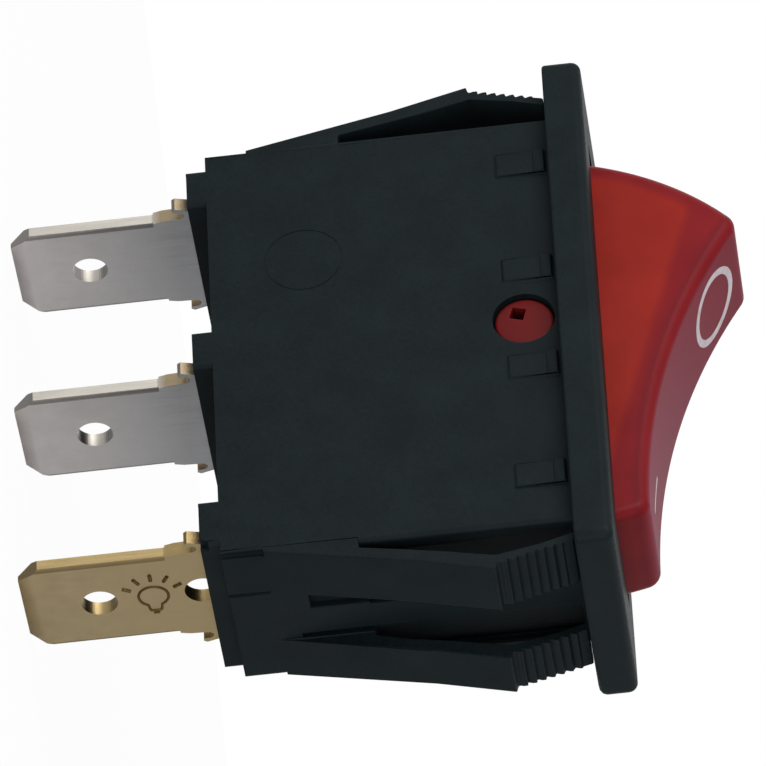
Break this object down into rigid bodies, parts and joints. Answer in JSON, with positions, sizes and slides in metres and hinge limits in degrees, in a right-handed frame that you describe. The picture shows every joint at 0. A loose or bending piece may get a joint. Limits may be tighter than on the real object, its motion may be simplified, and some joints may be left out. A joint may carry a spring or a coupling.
{
  "type": "panel rocker switch",
  "caption": "Snap-in rocker switch for a panel cut-out, with a translucent red rocker, an internal pilot lamp and push-on blade terminals.",
  "frame": {"origin": "centre of the bezel's underside, in the plane of the panel's front face", "axes": "+Z leaves the panel towards the user; +X along the long side towards the off (O) end; +Y across the width, towards the side with the ejector mark"},
  "size_m": [0.033, 0.0136, 0.0386],
  "materials": {
    "housing_black": "satin moulded nylon",
    "rocker_red": "translucent moulded polycarbonate",
    "nickel": "dull nickel plate",
    "brass": "plain, slightly dulled",
    "lever_brass": "plain",
    "silver": "bright silver contact metal",
    "spring_steel": "drawn wire",
    "lamp_glass": "clear",
    "resistor_body": "lacquered",
    "carrier_white": "moulded"
  },
  "bodies": {
    "housing": {"housing": "housing_black", "terminal_live": "nickel", "terminal_load": "nickel", "terminal_lamp": "brass", "fixed_contact": "silver", "lamp_spring": "spring_steel"},
    "rocker": {"rocker": "rocker_red", "plunger_spring": "spring_steel", "spring_cap": "brass", "neon_glass": "lamp_glass", "neon_electrodes": "nickel", "lamp_lead_plunger": "nickel", "lamp_lead_resistor": "nickel", "resistor": "resistor_body", "resistor_lead": "nickel", "lamp_carrier": "carrier_white", "lamp_spring_cap": "brass"},
    "plunger": {"plunger": "brass"},
    "lever": {"contact_lever": "lever_brass", "moving_contact": "silver"}
  },
  "joints": [
    {"name": "rocker_tilt", "type": "hinge", "parent": "housing", "child": "rocker", "pos_m": [0, 0, -0.0019], "axis": [0, 1, 0], "range_deg": [0, 34], "deforming": ["lamp_spring"]},
    {"name": "lever_tip", "type": "hinge", "parent": "housing", "child": "lever", "pos_m": [0, 0, -0.0134], "axis": [0, 1, 0], "range_deg": [-10, 0]},
    {"name": "plunger_slide", "type": "slide", "parent": "rocker", "child": "plunger", "axis": [-0.2924, 0, 0.9563], "range_m": [0, 0.0008], "stiffness_N_per_m": 300, "springref_m": -0.003, "deforming": ["plunger_spring"]}
  ],
  "couplings": [
    {"joint": "lever_tip", "follows": "rocker_tilt", "ratio": -0.29412}
  ]
}
